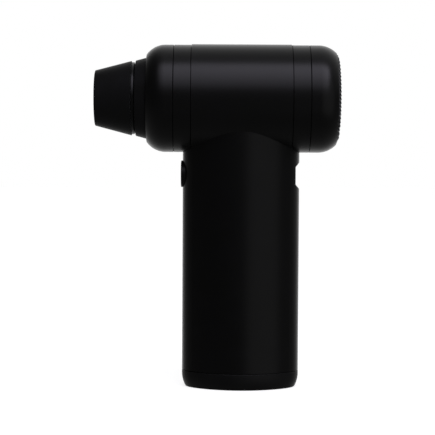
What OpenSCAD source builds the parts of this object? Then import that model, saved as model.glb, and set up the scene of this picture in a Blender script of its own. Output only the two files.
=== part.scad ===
// Cordless jet blower: a turbo fan in a short barrel, on an oval handle that holds the battery.
//
// Millimetres. The origin is the centre of the base's flat underside, on the handle's axis.
// +Z is up. The air blows towards -X: "front" is the nozzle's side and "rear" the intake's.
// The barrel, fan, motor and nozzle share one axis along X at the height axis_h.

/* [Handle] */
// Width of the oval handle, front to rear
handle_w = 46.25; // [45:0.25:50]
// Depth of the oval handle, side to side
handle_d = 34; // [32:0.5:38]
// Wall of the handle
handle_wall = 2; // [1.6:0.1:2.2]
// Height of the barrel's axis above the control board
axis_over_board = 33.23; // [31:0.01:38]

/* [Base cap] */
// Height of the base cap up to its seam with the handle
cap_h = 6.4; // [6:0.1:8]
// Thickness of the base cap's floor
cap_floor = 2.4; // [2:0.1:3]
// Height at which the cap's wall begins to draw in
cap_curve_h = 5.2; // [4:0.1:5.6]
// Radius of the curve that draws the cap's wall in
cap_curve_r = 10.8; // [9:0.1:11.8]
// How far the cap's collar reaches up into the handle
cap_collar_h = 3; // [2:0.1:4]
// Distance of each base screw's middle from the inside of the handle's wall
base_screw_inset = 3.2; // [2.8:0.1:4]

/* [Barrel] */
// Radius of the housing's sleeve round the fan
sleeve_r = 21.45; // [21:0.05:23]
// Wall of the sleeve
sleeve_wall = 1.8; // [1.6:0.1:2]
// Half the length of the sleeve
sleeve_half = 19.7; // [19.4:0.1:21]
// Step down from the sleeve to the rings and cowls
ring_step = 0.25; // [0.1:0.05:0.5]
// Length of each barrel ring
ring_l = 7; // [6.6:0.1:9]
// Wall of the rings and cowls
ring_wall = 1.7; // [1.5:0.1:1.9]
// Width of the seams between the outer pieces
seam = 0.2; // [0.1:0.02:0.4]

/* [Front cowl and collar] */
// Length of the front cowl
front_cowl_l = 10.75; // [10.2:0.05:11.2]
// Straight part of the front cowl before its shoulder
front_flat = 3.3; // [2.9:0.1:3.7]
// Radius of the front cowl's shoulder
front_arc_r = 9.2; // [9:0.1:11]
// Step from the barrel down to the collar
collar_step = 5.15; // [4.9:0.05:5.5]
// How much the collar narrows towards the front
collar_taper = 1.15; // [0.8:0.05:1.4]
// Length of the collar's cone
collar_l = 4.35; // [3.5:0.05:6]
// Step from the collar down to the neck
neck_step = 0.66; // [0.5:0.02:0.9]
// Length of the neck
neck_l = 1.5; // [1:0.1:3]

/* [Nozzle] */
// Length of the nozzle outside the neck
nozzle_l = 14.6; // [12:0.1:24]
// Step from the neck up to the nozzle's rear edge
nozzle_step = 0.5; // [0.2:0.02:0.8]
// How much the nozzle narrows towards its tip
nozzle_taper = 3.8; // [2.4:0.05:4]
// Width of the rim round the air outlet
nozzle_rim = 1.35; // [1.1:0.05:2.4]
// Step from the neck down to the spigot that the nozzle pushes onto
spigot_step = 2.25; // [2.1:0.05:2.5]
// Length of the spigot
spigot_l = 5.3; // [4.5:0.1:7]
// Wall of the spigot
spigot_wall = 1.6; // [1.5:0.05:2]
// Thickness of the sealing ring's cord
seal_cord = 1.2; // [1:0.1:1.4]
// How far the sealing ring is sunk into the spigot
seal_depth = 0.85; // [0.7:0.05:0.95]

/* [Rear cowl and intake] */
// Length of the rear cowl
rear_cowl_l = 11.3; // [11:0.1:12]
// Straight part of the rear cowl before its shoulder
rear_flat = 3.6; // [3.2:0.1:4]
// Radius of the rear cowl's shoulder
rear_arc_r = 10; // [9.8:0.1:11]
// Step from the barrel down to the intake mesh's edge
mesh_step = 5; // [4.6:0.1:5.4]
// Height of the mesh's middle over the cowl's rim
mesh_rise = 1.3; // [0.8:0.1:3]
// Height of the mesh's edge over the cowl's rim
mesh_edge_rise = 0.3; // [0.1:0.05:0.5]
// Thickness of the mesh
mesh_t = 0.7; // [0.5:0.05:0.9]
// Distance between the mesh's holes
mesh_pitch = 1.9; // [1.8:0.05:3]
// Diameter of the mesh's holes
mesh_hole_d = 1.35; // [1:0.05:1.5]

/* [Fan] */
// Thickness of the rubber dampers between duct and sleeve
damper_t = 2; // [1.6:0.1:2.2]
// Wall of the fan duct
duct_wall = 1.3; // [1:0.1:1.6]
// Gap between the blades' tips and the duct
tip_gap = 0.3; // [0.25:0.05:0.6]
// Number of blades on the impeller
blades = 11; // [7:1:13]
// Length of the impeller's hub
hub_l = 11.4; // [10.5:0.1:12.5]
// Radius of the hub's intake end
hub_nose_r = 6.6; // [6.4:0.1:7.5]
// Angle that a blade wraps round the hub, in degrees
blade_wrap = 42; // [20:1:50]
// Number of guide vanes behind the impeller, one of them the cable strut
vanes = 9; // [6:1:11]
// Thickness of a guide vane
vane_t = 0.9; // [0.7:0.1:1.3]
// Radius of the curve of a guide vane
vane_curve_r = 28; // [24:1:60]

/* [Motor] */
// Outer radius of the motor's cup
cup_r = 10.4; // [10.2:0.1:10.8]
// Wall of the motor's cup
cup_wall = 1.1; // [1:0.1:1.3]
// Length of the stator's stack of laminations
stack_l = 9; // [8:0.5:9.5]
// Number of stator teeth
teeth = 6; // [6:1:6]
// Radius of the rotor's magnet
magnet_r = 3.7; // [3.4:0.1:3.8]
// Air gap between magnet and stator
air_gap = 0.4; // [0.3:0.05:0.6]
// Radius of the motor's shaft
shaft_r = 1.5; // [1.4:0.05:1.6]
// Outer radius of the ball bearings
bearing_r = 4; // [3.9:0.05:4.2]
// Width of the ball bearings
bearing_w = 3; // [2.5:0.1:3]
// Number of balls in each bearing
balls = 7; // [6:1:7]
// Length of the tail cone behind the motor
tail_l = 16; // [12:0.5:17]

/* [Battery] */
// Diameter of a battery cell
cell_d = 18.4; // [18:0.1:18.6]
// Length of a battery cell
cell_l = 65; // [60:0.5:66]
// Gap between the two cells
cell_gap = 0.3; // [0.2:0.05:0.5]
// Thickness of the contact strips
strip_t = 0.3; // [0.2:0.05:0.5]
// Height of the posts that carry the control board over the cells
board_post_h = 8.37; // [8.1:0.01:9.5]
// Floor of the two cell holders
holder_floor = 1.6; // [1.2:0.1:2]
// How far each holder reaches along the cells
holder_grip = 5; // [4:0.5:7]

/* [Controls] */
// Height of the power button's centre above the charging socket's
button_over_port = 1.8; // [1.2:0.1:2.6]
// Diameter of the power button
button_d = 10.6; // [9:0.1:10.8]
// How far the button stands proud of the handle
button_proud = 0.7; // [0.6:0.05:1.2]
// Travel of the button
button_travel = 0.5; // [0.3:0.05:0.55]
// Height of the charging recess's centre above the charging socket's
recess_over_port = 1.3; // [0.8:0.1:1.5]
// Height of the recess's flat
recess_flat_h = 6.9; // [6.6:0.1:8]
// Depth of the recess
recess_depth = 1.7; // [1.2:0.05:1.8]
// Height of the slope at each end of the recess
recess_slope_h = 1.9; // [1:0.1:3]
// Thickness of the circuit board
board_t = 1.2; // [1:0.1:1.6]

/* [Hidden] */
$fn = 96;

// Clearances: fit for round pieces that stay put, glue for pieces on the shaft.
fit = 0.05;
glue = 0.02;
slide_fit = 0.08;
part_gap = 0.1;
past = 1;

// Handle: an oval of four arcs that run into each other. The middles of the oval, of an end arc
// and of a side arc make a triangle with sides of 20, 21 and 29 units, and a unit is a whole
// number of micrometres, so that the arcs meet exactly.
oval_unit = round(1000 * (handle_w - handle_d) / 24) / 1000;
end_x = 20 * oval_unit;
end_r = handle_w / 2 - end_x;
side_y = 21 * oval_unit;
side_r = 29 * oval_unit + end_r;
side_slope = end_x / side_y;
inner_d = 2 * (side_r - side_y - handle_wall);
base_screw_y = inner_d / 2 - base_screw_inset;
front_face_x = -handle_w / 2;
rear_face_x = handle_w / 2;
seam_bevel = 0.2;

// Barrel: radii from outside in, then places along the axis from the centre outwards
ring_r = sleeve_r - ring_step;
ring_in_r = ring_r - ring_wall;
bore_r = sleeve_r - sleeve_wall;
saddle_r = sleeve_r + 1;
ring_plug_r = bore_r - fit;
ring_plug_in_r = ring_plug_r - 1.5;
ring_plug_l = 2.8;
ring_web = 2;
cowl_plug_r = ring_in_r - fit;
cowl_plug_wall = 1.2;
cowl_plug_l = 4.5;
cowl_web = 1.5;
ring_end = sleeve_half + ring_l;

front_cowl_end = ring_end + front_cowl_l;
rear_cowl_end = ring_end + rear_cowl_l;
cowl_end_wall = 1.5;

// Collar and nozzle, as distances in front of the handle's axis
collar_rear_r = ring_r - collar_step;
collar_front_r = collar_rear_r - collar_taper;
neck_r = collar_front_r - neck_step;
nozzle_rear_r = neck_r + nozzle_step;
nozzle_tip_r = nozzle_rear_r - nozzle_taper;
outlet_r = nozzle_tip_r - nozzle_rim;
spigot_r = neck_r - spigot_step;
spigot_bore_r = spigot_r - spigot_wall;
collar_end = front_cowl_end + collar_l;
neck_end = collar_end + neck_l;
nozzle_end = neck_end + nozzle_l;
collar_tube_r = collar_rear_r - 1.5;
collar_lip_r = collar_tube_r + 0.75;
collar_lip_l = 1.3;
collar_tube_wall = 1.35;
socket_r = spigot_r + fit;
socket_l = spigot_l + part_gap;
seal_x = neck_end + spigot_l / 2;
seal_cord_r = seal_cord / 2;
seal_mid_r = spigot_r - seal_depth + seal_cord_r;

// Intake
mesh_r = ring_r - mesh_step;
mesh_crown = mesh_rise - mesh_edge_rise;
mesh_dome_r = (mesh_r * mesh_r + mesh_crown * mesh_crown) / (2 * mesh_crown);
mouth_r = mesh_r + fit;
lip_t = 1.2;
flange_t = 0.6;
flange_r = mesh_r + 0.7;
flange_x = rear_cowl_end - lip_t - flange_t;
clamp_l = 1.6;
clamp_in_r = mesh_r - 0.3;
mesh_edge = 0.9;
clamp_x = flange_x - clamp_l;

// Fan duct and dampers
duct_out_r = bore_r - fit - damper_t;
duct_r = duct_out_r - duct_wall;
tip_r = duct_r - tip_gap;
duct_front_x = -(sleeve_half - 2.3);
duct_rear_x = ring_end - 4.4;
damper_end = sleeve_half - ring_plug_l - part_gap;
damper_l = 4.5;
duct_rib_l = 0.8;
duct_rib_h = 1.3;

// Motor, placed from the middle of its stack
motor_x = -1;
cup_in_r = cup_r - cup_wall;
stack_x0 = motor_x - stack_l / 2;
stack_x1 = motor_x + stack_l / 2;
coil_over = 1.8;
cup_end_t = 1.2;
cup_end_x = stack_x1 + coil_over + 0.9;
cup_front_x = stack_x0 - coil_over - 2.6;
seat_wall = 1.2;
seat_r = bearing_r + glue;
seat_floor = 0.7;
shaft_hole_r = shaft_r + 0.7;
rear_bearing_x = cup_end_x + seat_floor;
rear_seat_end = rear_bearing_x + bearing_w + part_gap;
end_cap_t = 1.3;
end_cap_x = cup_front_x + 0.3;
front_bearing_end = end_cap_x + end_cap_t - seat_floor;
front_bearing_x = front_bearing_end - bearing_w;
front_seat_end = front_bearing_x - part_gap;
ball_mid_r = (shaft_r + bearing_r) / 2 + 0.05;
ball_r = 0.65;
race_gap = 0.03;
inner_race_r = ball_mid_r - 0.5;
outer_race_r = ball_mid_r + 0.5;

// Impeller and tail
hub_x0 = cup_end_x + cup_end_t + 0.8;
hub_x1 = hub_x0 + hub_l;
hub_tail_r = cup_r - 0.2;
hub_cave_r = seat_r + seat_wall + 0.9;
hub_cave_end = rear_seat_end + 0.9;
hub_arc_r = (hub_l * hub_l + pow(hub_tail_r - hub_nose_r, 2)) / (2 * (hub_tail_r - hub_nose_r));
blade_root_r = hub_cave_r + 0.2;
blade_root_t = 1.1;
blade_tip_t = 0.7;
spinner_l = 5.2;
shaft_x0 = front_bearing_x;
shaft_x1 = hub_x1 + spinner_l - 2;
tail_tip_r = 1;
tail_arc_r = (tail_l * tail_l + pow(cup_r - tail_tip_r, 2)) / (2 * (cup_r - tail_tip_r));
tail_wall = 1;

// Guide vanes and the strut that carries the motor's leads across the air way
vane_x0 = cup_front_x + 1.4;
vane_x1 = cup_end_x - 1.6;
lead_r = 0.7;
lead_pitch = 1.7;
lead_x = stack_x0 - lead_r - 0.2;
strut_w = 3;
strut_d = 3 * lead_pitch + 1.4;

// Battery pack, stacked up from the base cap's floor
cell_r = cell_d / 2;
cell_x = (cell_d + cell_gap) / 2;
pocket_r = cell_r + fit;
holder_z = cap_floor;
cell_z0 = holder_z + holder_floor + strip_t;
cell_z1 = cell_z0 + cell_l;
upper_holder_z = cell_z1 + strip_t;
upper_holder_top = upper_holder_z + holder_floor;
pocket_wall = 1.4;
strip_w = cell_d / 3;
strip_pad_r = strip_w * 0.65;
strip_slot_w = strip_w + 1.2;
battery_lead_r = 0.8;

// Control board on its posts, with everything that stands on it
board_z = upper_holder_top + board_post_h;
board_top = board_z + board_t;
axis_h = board_top + axis_over_board;
usb_w = 8.94;
usb_h = 3.26;
usb_l = 7.3;
usb_skin = 0.3;
usb_tongue_w = 6.6;
usb_tongue_t = 0.7;
port_z = board_top + usb_h / 2;
port_clear = 0.17;
recess_z = port_z + recess_over_port;
button_z = port_z + button_over_port;
light_z = recess_z + 2.4;
light_r = 0.7;
board_edge = 0.35;
post_r = 2.1;
post_x = handle_w / 2 - 14.5;
post_y = inner_d / 2 - 6.2;
can_r = 3;
can_l = 10;
can_x = -3;
can_y = 0.5;
chip_w = 3.3;
chip_pitch = post_x - chip_w - 1.1;
recess_floor_x = rear_face_x - recess_depth;
pad_t = 1.6;
usb_x1 = recess_floor_x - 0.5;

// Power button and its switch
button_r = button_d / 2;
button_hole_r = button_r + slide_fit;
button_face_x = front_face_x - button_proud;
button_seat_x = front_face_x + handle_wall + 0.6;
button_flange_t = 1;
button_flange_r = button_r + 0.9;
button_round = 0.4;
stem_r = 1.6;
plunger_r = 1.75;
switch_x = button_seat_x + button_flange_t + 2.3;
plunger_l = 0.9;
switch_l = 3.5;
switch_w = 6.2;

// Fasteners
screw_r = 1;
screw_head_r = 2.1;
screw_l = 10;
base_boss_r = 2.6;
base_boss_h = 9;
board_screw_l = 5;

// The part of the plan that the side arcs bound: it ends where they run into the end arcs
module side_zone() {
    reach = end_x + side_slope * handle_d;
    polygon([
        [end_x, 0], [reach, handle_d], [-reach, handle_d],
        [-end_x, 0], [-reach, -handle_d], [reach, -handle_d]]);
}

// Plan of the handle, drawn in by inset all round
module oval(inset) {
    for (side = [-1, 1]) translate([side * end_x, 0]) circle(end_r - inset);
    intersection() {
        translate([0, side_y]) circle(side_r - inset);
        translate([0, -side_y]) circle(side_r - inset);
        side_zone();
    }
}

// A solid or hollow turned about the barrel's axis from a profile of [radius, x]
module turned() {
    translate([0, 0, axis_h]) rotate([0, 90, 0]) rotate_extrude() children();
}

// Places children, drawn along +Z, on the barrel's axis at x
module on_axis(x) {
    translate([x, 0, axis_h]) rotate([0, 90, 0]) children();
}

// Places children, drawn along +Z, so that they lie along +X at a height
module along_x(x, y, z) {
    translate([x, y, z]) rotate([0, 90, 0]) children();
}

// Rectangle of a profile between two radii and two places on the axis
module band(r0, r1, x0, x1) {
    translate([r0, x0]) square([r1 - r0, x1 - x0]);
}

// Everything under a straight wall that turns into a shoulder of radius arc
module shoulder_area(r, x0, x_arc, x1, arc) {
    band(0, r, x0, x_arc);
    intersection() {
        band(0, r, x_arc, x1);
        union() {
            translate([r - arc, x_arc]) circle(arc);
            band(0, r - arc, x_arc, x1);
        }
    }
}

// The wall of a cowl: its shoulder, with an end wall that has a round mouth
module cowl_area(flat, length, arc, mouth, end_wall) {
    start = ring_end + seam / 2;
    end = ring_end + length;
    difference() {
        union() {
            shoulder_area(ring_r, start, ring_end + flat, end, arc);
            // plug that holds the cowl in its ring
            band(0, cowl_plug_r, ring_end - cowl_plug_l, start + seam);
        }
        intersection() {
            shoulder_area(ring_in_r, start + cowl_web, ring_end + flat, end, arc - ring_wall);
            band(0, ring_in_r, start + cowl_web, end - end_wall);
        }
        band(0, cowl_plug_r - cowl_plug_wall, ring_end - cowl_plug_l - past, start + cowl_web + seam);
        band(0, mouth, start, end + past);
    }
}

module ring_area() {
    band(ring_in_r, ring_r, sleeve_half + seam, ring_end - seam / 2);
    band(ring_plug_in_r, ring_in_r, sleeve_half, sleeve_half + ring_web);
    band(ring_plug_in_r, ring_plug_r, sleeve_half - ring_plug_l, sleeve_half + seam);
}

module damper_area() {
    difference() {
        band(duct_out_r + fit / 2, bore_r - fit / 2, damper_end - damper_l, damper_end);
        for (k = [-1, 1])
            translate([bore_r, damper_end - damper_l / 2 + k * damper_l / 5]) circle(0.5, $fn = 24);
    }
}

module handle_solid(z0, z1, inset) {
    translate([0, 0, z0]) linear_extrude(z1 - z0) oval(inset);
}

module base_boss(side) {
    intersection() {
        handle_solid(cap_h, axis_h, 0);
        union() {
            z0 = cap_h + cap_collar_h + part_gap;
            translate([0, side * base_screw_y, z0]) cylinder(h = base_boss_h, r = base_boss_r);
            // rib that ties the boss to the wall
            translate([-base_boss_r / 2, side > 0 ? base_screw_y : -handle_d / 2, z0])
                cube([base_boss_r, handle_d / 2 - base_screw_y, base_boss_h]);
        }
    }
}

module main_housing() {
    color("#141416") difference() {
        union() {
            difference() {
                union() {
                    handle_solid(cap_h + seam, axis_h, 0);
                    on_axis(-sleeve_half) cylinder(h = 2 * sleeve_half, r = sleeve_r);
                }
                // hollow of the handle, up to the saddle under the barrel
                difference() {
                    handle_solid(cap_h - past, axis_h, handle_wall);
                    on_axis(-handle_w) cylinder(h = 2 * handle_w, r = saddle_r);
                }
            }
            for (side = [-1, 1]) base_boss(side);
            // pad that thickens the wall behind the charging recess
            intersection() {
                handle_solid(cap_h + seam, axis_h, handle_wall / 2);
                translate([recess_floor_x - pad_t, -inner_d / 4, recess_z - recess_flat_h])
                    cube([handle_w, inner_d / 2, 2 * recess_flat_h]);
            }
        }
        on_axis(-sleeve_half - past) cylinder(h = 2 * (sleeve_half + past), r = bore_r);
        // saddles for the two barrel rings
        for (x = [-sleeve_half - ring_l, sleeve_half])
            on_axis(x) cylinder(h = ring_l, r = ring_r + seam / 2);
        // way for the motor's leads through the saddle
        translate([lead_x, 0, axis_h - saddle_r - past])
            linear_extrude(saddle_r) square([2 * lead_r + 1.2, strut_d], center = true);
        // hole and inner seat of the power button
        along_x(front_face_x - past, 0, button_z)
            cylinder(h = handle_wall + 2 * past + 1, r = button_hole_r);
        along_x(button_seat_x, 0, button_z) cylinder(h = 6, r = button_flange_r + 0.3);
        // charging recess: a flat with a slope at each end
        rotate([90, 0, 0]) linear_extrude(handle_d, center = true) polygon([
            [recess_floor_x, recess_z - recess_flat_h / 2],
            [recess_floor_x, recess_z + recess_flat_h / 2],
            [rear_face_x, recess_z + recess_flat_h / 2 + recess_slope_h],
            [rear_face_x + past, recess_z + recess_flat_h / 2 + recess_slope_h],
            [rear_face_x + past, recess_z - recess_flat_h / 2 - recess_slope_h],
            [rear_face_x, recess_z - recess_flat_h / 2 - recess_slope_h]]);
        along_x(recess_floor_x - 2 * pad_t, 0, port_z) linear_extrude(3 * pad_t)
            usb_outline(usb_w + 2 * port_clear, usb_h + 2 * port_clear);
        along_x(recess_floor_x - 2 * pad_t, 0, light_z)
            cylinder(h = 3 * pad_t, r = light_r + fit, $fn = 32);
        for (side = [-1, 1]) translate([0, side * base_screw_y, 0])
            cylinder(h = cap_h + base_boss_h, r = screw_r + glue, $fn = 32);
    }
}

// Outline of the charging socket, w along Y and h along Z once it lies along X
module usb_outline(w, h) {
    square([h, w - h], center = true);
    for (k = [-1, 1]) translate([0, k * (w - h) / 2]) circle(h / 2, $fn = 48);
}

module front_barrel_ring() {
    color("#151517") mirror([1, 0, 0]) turned() ring_area();
}

module rear_barrel_ring() {
    color("#151517") turned() ring_area();
}

module front_cowl() {
    color("#151517") mirror([1, 0, 0]) turned()
        cowl_area(front_flat, front_cowl_l, front_arc_r, collar_tube_r + fit, cowl_end_wall);
}

module rear_cowl() {
    color("#151517") turned() difference() {
        cowl_area(rear_flat, rear_cowl_l, rear_arc_r, mouth_r, lip_t);
        // seat for the mesh's flange and the clamp ring
        band(0, flange_r + fit, clamp_x - 0.4, flange_x + flange_t);
    }
}

module nozzle_collar() {
    back = front_cowl_end + part_gap / 2;
    inside = front_cowl_end - cowl_end_wall;
    tube_bore_r = collar_tube_r - collar_tube_wall;
    color("#101011") mirror([1, 0, 0]) turned() difference() {
        union() {
            polygon([
                [0, back], [collar_rear_r, back], [collar_front_r, collar_end - seam_bevel],
                [collar_front_r - seam_bevel, collar_end], [0, collar_end]]);
            band(0, neck_r, back, neck_end);
            band(0, collar_tube_r, inside - collar_lip_l, back);
            band(0, collar_lip_r, inside - collar_lip_l, inside - part_gap / 2);
            band(0, spigot_r, back, neck_end + spigot_l);
        }
        polygon([
            [0, inside - collar_lip_l - past], [tube_bore_r, inside - collar_lip_l - past],
            [tube_bore_r, inside - collar_lip_l], [spigot_bore_r, neck_end - neck_l / 2],
            [spigot_bore_r, neck_end + spigot_l + past], [0, neck_end + spigot_l + past]]);
        band(spigot_r - seal_depth, spigot_r + past, seal_x - seal_cord_r - part_gap,
            seal_x + seal_cord_r + part_gap);
    }
}

module nozzle_seal() {
    color("#1c1c1e") mirror([1, 0, 0]) turned() difference() {
        translate([seal_mid_r + race_gap, seal_x]) circle(seal_cord_r, $fn = 32);
        // flats where the ring is squeezed between spigot and socket
        band(socket_r - fit / 2, socket_r + past, seal_x - past, seal_x + past);
        band(0, spigot_r - seal_depth + race_gap, seal_x - past, seal_x + past);
    }
}

module nozzle() {
    back = neck_end + part_gap;
    tip_bevel = 0.35;
    color("#101011") mirror([1, 0, 0]) turned() difference() {
        polygon([
            [0, back], [nozzle_rear_r - seam_bevel, back], [nozzle_rear_r, back + seam_bevel],
            [nozzle_tip_r, nozzle_end - tip_bevel], [nozzle_tip_r - tip_bevel, nozzle_end],
            [0, nozzle_end]]);
        band(0, socket_r, back - past, neck_end + socket_l);
        polygon([
            [0, neck_end], [spigot_bore_r, neck_end], [spigot_bore_r, neck_end + socket_l],
            [outlet_r, nozzle_end - 2], [outlet_r, nozzle_end - tip_bevel],
            [outlet_r + tip_bevel, nozzle_end], [outlet_r + tip_bevel, nozzle_end + past],
            [0, nozzle_end + past]]);
    }
}

// Centres of a hexagonal pattern inside a circle
function hex_points(pitch, limit) = [
    for (row = [-ceil(limit / pitch) * 2 : ceil(limit / pitch) * 2])
        for (col = [-ceil(limit / pitch) : ceil(limit / pitch)])
            let (y = row * pitch * sqrt(3) / 2, x = (col + (row % 2 == 0 ? 0 : 0.5)) * pitch)
                if (norm([x, y]) < limit) [x, y]];

module intake_mesh() {
    dome_mid = rear_cowl_end + mesh_rise - mesh_dome_r;
    color("#1a1a1c") difference() {
        turned() {
            difference() {
                intersection() {
                    translate([0, dome_mid]) circle(mesh_dome_r, $fn = 360);
                    band(0, mesh_r, flange_x, rear_cowl_end + mesh_rise + past);
                }
                intersection() {
                    translate([0, dome_mid]) circle(mesh_dome_r - mesh_t, $fn = 360);
                    band(0, mesh_r - mesh_edge, flange_x - past, rear_cowl_end + mesh_rise);
                }
            }
            band(mesh_r - mesh_edge, flange_r, flange_x, flange_x + flange_t);
        }
        on_axis(flange_x + flange_t) linear_extrude(mesh_rise + 2 * lip_t)
            for (p = hex_points(mesh_pitch, mesh_r - mesh_edge - mesh_hole_d / 2))
                translate(p) circle(mesh_hole_d / 2, $fn = 6);
    }
}

module mesh_clamp_ring() {
    color("#2a2a2c") turned() band(clamp_in_r, flange_r, clamp_x, flange_x);
}

module intake_bellmouth() {
    flare_r = 60;
    start = duct_rear_x + part_gap;
    outer = cowl_plug_r - cowl_plug_wall - fit;
    color("#1b1b1d") turned() intersection() {
        band(0, outer, start, clamp_x - part_gap);
        translate([duct_r + flare_r, start]) circle(flare_r, $fn = 360);
    }
}

// Section of the base cap from the middle of one of its arcs outwards: the wall draws in along a
// curve towards the base and has a bevel at the seam
module cap_area(r) {
    difference() {
        intersection() {
            band(0, r, 0, cap_h);
            union() {
                translate([r - cap_curve_r, cap_curve_h]) circle(cap_curve_r, $fn = 180);
                band(0, r - cap_curve_r, 0, cap_h);
                band(0, r, cap_curve_h, cap_h);
            }
        }
        translate([r, cap_h]) rotate(45) square(seam_bevel * sqrt(2), center = true);
    }
}

// The section turned about the middles of the oval's four arcs
module cap_block() {
    difference() {
        for (side = [-1, 1]) translate([side * end_x, 0, 0]) rotate_extrude() cap_area(end_r);
        translate([0, 0, -past]) linear_extrude(cap_h + 2 * past) side_zone();
    }
    intersection() {
        translate([0, side_y, 0]) rotate_extrude() cap_area(side_r);
        translate([0, -side_y, 0]) rotate_extrude() cap_area(side_r);
        linear_extrude(cap_h) side_zone();
    }
}

module base_cap() {
    collar_gap = part_gap;
    collar_wall = 1.2;
    color("#141416") difference() {
        union() {
            difference() {
                cap_block();
                handle_solid(cap_floor, cap_h + past, handle_wall + collar_wall);
            }
            difference() {
                handle_solid(cap_floor, cap_h + cap_collar_h, handle_wall + collar_gap);
                handle_solid(cap_floor - past, cap_h + cap_collar_h + past, handle_wall + collar_wall);
            }
            for (side = [-1, 1]) intersection() {
                translate([0, side * base_screw_y, cap_floor - past])
                    cylinder(h = cap_h + cap_collar_h - cap_floor + past, r = base_boss_r);
                handle_solid(0, cap_h + cap_collar_h, handle_wall + collar_gap);
            }
        }
        for (side = [-1, 1]) translate([0, side * base_screw_y, 0]) {
            translate([0, 0, -past])
                cylinder(h = cap_h + cap_collar_h + 2 * past, r = screw_r + 0.15, $fn = 32);
            translate([0, 0, -past]) cylinder(h = past + 1.6, r = screw_head_r + 0.15, $fn = 32);
        }
    }
}

module base_screws() {
    color("#6e6e70") for (side = [-1, 1]) translate([0, side * base_screw_y, 0.5]) screw(screw_l);
}

// Pan-head screw with a hexagon socket, head down, its shank along +Z
module screw(length) {
    head = 1.1;
    difference() {
        union() {
            cylinder(h = head, r = screw_head_r, $fn = 32);
            cylinder(h = head + length, r = screw_r, $fn = 32);
        }
        translate([0, 0, -past]) cylinder(h = past + 0.7, r = 0.9, $fn = 6);
    }
}

module power_button() {
    body_l = button_seat_x + part_gap / 2 - button_face_x;
    dish_r = 28;
    dish_depth = 0.25;
    color("#121213") along_x(0, 0, button_z) rotate_extrude() {
        difference() {
            union() {
                translate([0, button_face_x + button_round]) square([button_r, body_l - button_round]);
                translate([0, button_face_x]) square([button_r - button_round, body_l]);
                translate([button_r - button_round, button_face_x + button_round])
                    circle(button_round, $fn = 32);
            }
            // shallow dish for the fingertip
            translate([0, button_face_x - dish_r]) circle(dish_r + dish_depth, $fn = 360);
        }
        translate([0, button_seat_x + part_gap / 2]) square([button_flange_r, button_flange_t]);
        translate([0, button_seat_x])
            square([stem_r, switch_x - plunger_l - part_gap / 2 - button_seat_x]);
    }
}

module switch_plunger() {
    color("#7a1f1f") along_x(switch_x - plunger_l, 0, button_z)
        cylinder(h = plunger_l + 0.5, r = plunger_r, $fn = 32);
}

module tactile_switch() {
    top = button_z + 2.4;
    color("#2b2b2e") difference() {
        translate([switch_x, -switch_w / 2, board_top]) cube([switch_l, switch_w, top - board_top]);
        along_x(switch_x - past, 0, button_z)
            cylinder(h = past + 0.5 + button_travel + 0.2, r = plunger_r + slide_fit, $fn = 32);
    }
}

module board_area() {
    difference() {
        intersection() {
            oval(handle_wall + board_edge);
            square([2 * (usb_x1 - 1.2), inner_d], center = true);
            translate([switch_x - 0.6, -inner_d / 2]) square([handle_w, inner_d]);
        }
        for (sx = [-1, 1]) translate([sx * post_x, sx * post_y]) circle(screw_r + 0.1, $fn = 32);
    }
}

module control_board() {
    color("#1f4d36") translate([0, 0, board_z]) linear_extrude(board_t) board_area();
}

module board_screws() {
    head = 1.1;
    color("#8c8c8e") for (sx = [-1, 1])
        translate([sx * post_x, sx * post_y, board_top + head]) mirror([0, 0, 1]) screw(board_screw_l);
}

module usb_c_socket() {
    color("#a9abad") {
        along_x(usb_x1 - usb_l, 0, port_z) difference() {
            linear_extrude(usb_l) usb_outline(usb_w, usb_h);
            translate([0, 0, 1]) linear_extrude(usb_l)
                usb_outline(usb_w - 2 * usb_skin, usb_h - 2 * usb_skin);
        }
        // tongue with the contacts
        translate([usb_x1 - usb_l + 0.5, -usb_tongue_w / 2, port_z - usb_tongue_t / 2])
            cube([usb_l - 1.6, usb_tongue_w, usb_tongue_t]);
    }
}

module light_guide() {
    leg_x = usb_x1 - usb_l - 1.8;
    color("#dfe6ea") {
        along_x(leg_x, 0, light_z) cylinder(h = recess_floor_x - 0.1 - leg_x, r = light_r, $fn = 32);
        translate([leg_x, 0, board_top + 0.9])
            cylinder(h = light_z - board_top - 0.9, r = light_r, $fn = 32);
        translate([leg_x, 0, light_z]) sphere(light_r, $fn = 32);
    }
}

module charge_led() {
    leg_x = usb_x1 - usb_l - 1.8;
    color("#f2f2ec") translate([leg_x - 0.8, -0.5, board_top]) cube([1.6, 1, 0.8]);
}

module motor_driver_chips() {
    chip_t = 0.9;
    control_w = 5;
    chips_x = screw_head_r + 0.2 - post_x;
    color("#232325") {
        for (i = [0 : 2]) for (side = [-1, 1])
            translate([chips_x + i * chip_pitch, side * (post_y + 0.2) - chip_w / 2, board_top])
                cube([chip_w, chip_w, chip_t]);
        translate([control_w * 0.4, -control_w / 2, board_top]) cube([control_w, control_w, chip_t]);
    }
}

module supply_capacitor() {
    color("#3a4a6a") difference() {
        translate([can_x, can_y - can_l / 2, board_z - can_r]) rotate([-90, 0, 0])
            cylinder(h = can_l, r = can_r);
        // ring pressed into the can near its open end
        translate([can_x, can_y - can_l / 2 + 1.6, board_z - can_r]) rotate([-90, 0, 0])
            rotate_extrude() translate([can_r + 0.15, 0]) circle(0.4, $fn = 24);
    }
}

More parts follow.
